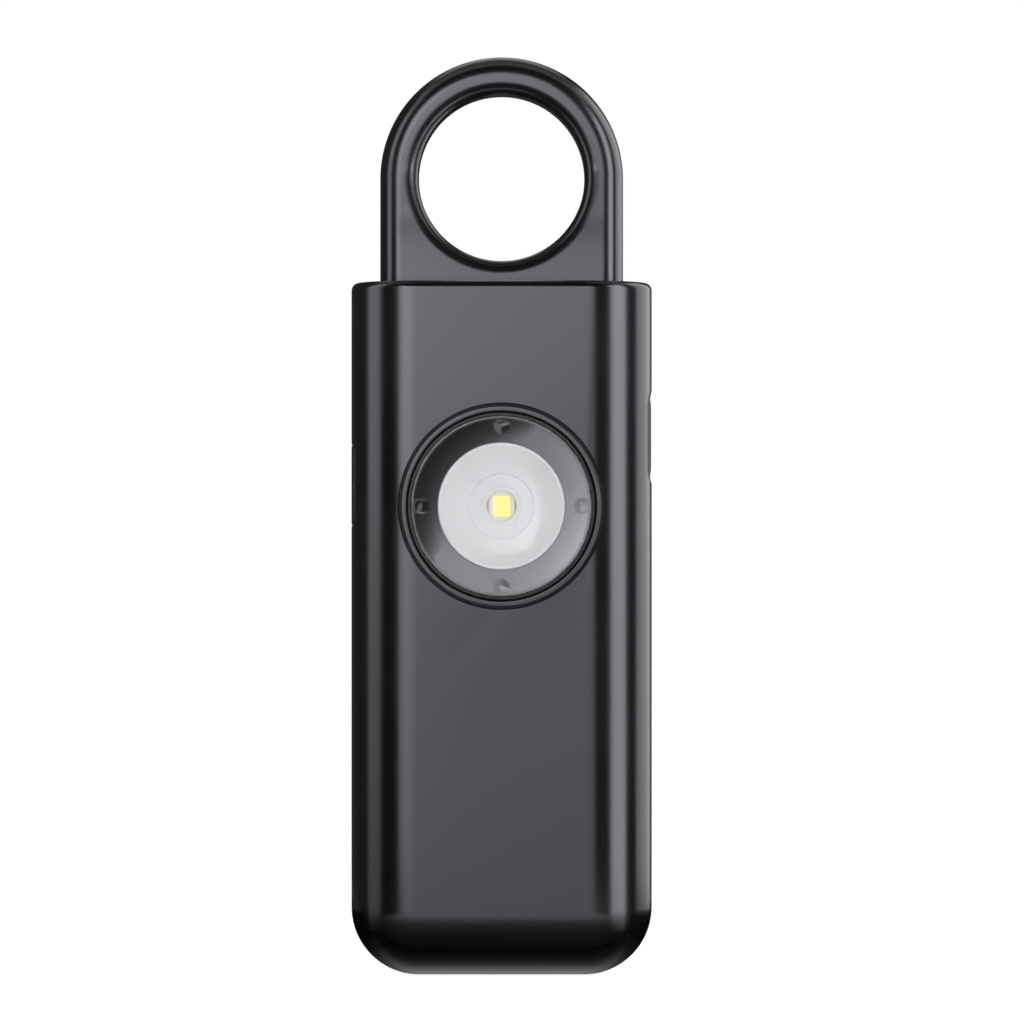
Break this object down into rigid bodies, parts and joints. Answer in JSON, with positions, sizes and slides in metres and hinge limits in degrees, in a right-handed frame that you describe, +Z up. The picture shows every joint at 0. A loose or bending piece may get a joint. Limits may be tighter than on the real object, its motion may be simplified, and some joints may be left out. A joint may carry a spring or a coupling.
{
  "type": "personal safety alarm",
  "caption": "Slim upright personal safety alarm with a pull-out ring, a round front lamp, a side light button, a covered charging port and a siren behind a grille in the back.",
  "frame": {"origin": "centre of the case's foot, under the middle of the case's width and thickness", "axes": "+Z up along the case to the pull ring, +X to the viewer's right, -Y out of the front face with the lamp"},
  "size_m": [0.0316, 0.0154, 0.0962],
  "materials": {
    "case_plastic": "fine satin black moulded plastic",
    "handle_plastic": "fine satin black moulded plastic",
    "button_plastic": "satin black moulded plastic",
    "bezel_plastic": "satin black moulded plastic",
    "clear_lens": "clear polished plastic",
    "carrier_gloss": "polished dark grey",
    "reflector_white": "polished white plastic",
    "led_body": "white moulded package",
    "led_phosphor": "yellow phosphor",
    "board_green": "lacquered circuit board",
    "component_plastic": "moulded black",
    "capacitor_tan": "tan ceramic",
    "plunger_grey": "light grey moulded plastic",
    "plated_metal": "nickel plated",
    "screw_steel": "zinc plated",
    "spring_bronze": "rolled bronze strip",
    "plug_rubber": "soft black silicone",
    "battery_foil": "laminated foil pouch",
    "foam_black": "closed cell foam",
    "lead_red": "insulated wire",
    "lead_black": "insulated wire",
    "siren_brass": "rolled brass disc",
    "siren_ceramic": "silvered ceramic",
    "mesh_cloth": "fine black cloth"
  },
  "bodies": {
    "housing": {"front_shell": "case_plastic", "rear_cover": "case_plastic", "cover_screws": "screw_steel", "jack_socket": "component_plastic", "contact_spring_left": "spring_bronze", "contact_spring_right": "spring_bronze", "lens_bezel": "bezel_plastic", "light_lens": "clear_lens", "lens_carrier": "carrier_gloss", "reflector": "reflector_white", "led_package": "led_body", "led_phosphor": "led_phosphor", "main_board": "board_green", "control_chip": "component_plastic", "charge_chip": "component_plastic", "boost_inductor": "component_plastic", "board_capacitors": "capacitor_tan", "button_switch": "component_plastic", "charge_socket": "plated_metal", "socket_tongue": "component_plastic", "battery_cell": "battery_foil", "battery_pad": "foam_black", "battery_lead_red": "lead_red", "battery_lead_black": "lead_black", "siren_disc": "siren_brass", "siren_ceramic": "siren_ceramic", "siren_ring": "foam_black", "siren_lead_red": "lead_red", "siren_lead_black": "lead_black", "dust_mesh": "mesh_cloth"},
    "handle": {"pull_handle": "handle_plastic", "handle_pin": "plated_metal"},
    "button": {"side_button": "button_plastic", "switch_plunger": "plunger_grey"},
    "plug": {"port_plug": "plug_rubber"}
  },
  "joints": [
    {"name": "handle_pull", "type": "slide", "parent": "housing", "child": "handle", "axis": [0, 0, 1], "range_m": [0, 0.018]},
    {"name": "button_press", "type": "slide", "parent": "housing", "child": "button", "axis": [-1, 0, 0], "range_m": [0, 0.0004], "stiffness_N_per_m": 1500, "springref_m": -0.0003},
    {"name": "plug_swing", "type": "hinge", "parent": "housing", "child": "plug", "pos_m": [-0.01575, -0.00065, 0.04715], "axis": [0, -1, 0], "range_deg": [0, 100]}
  ]
}
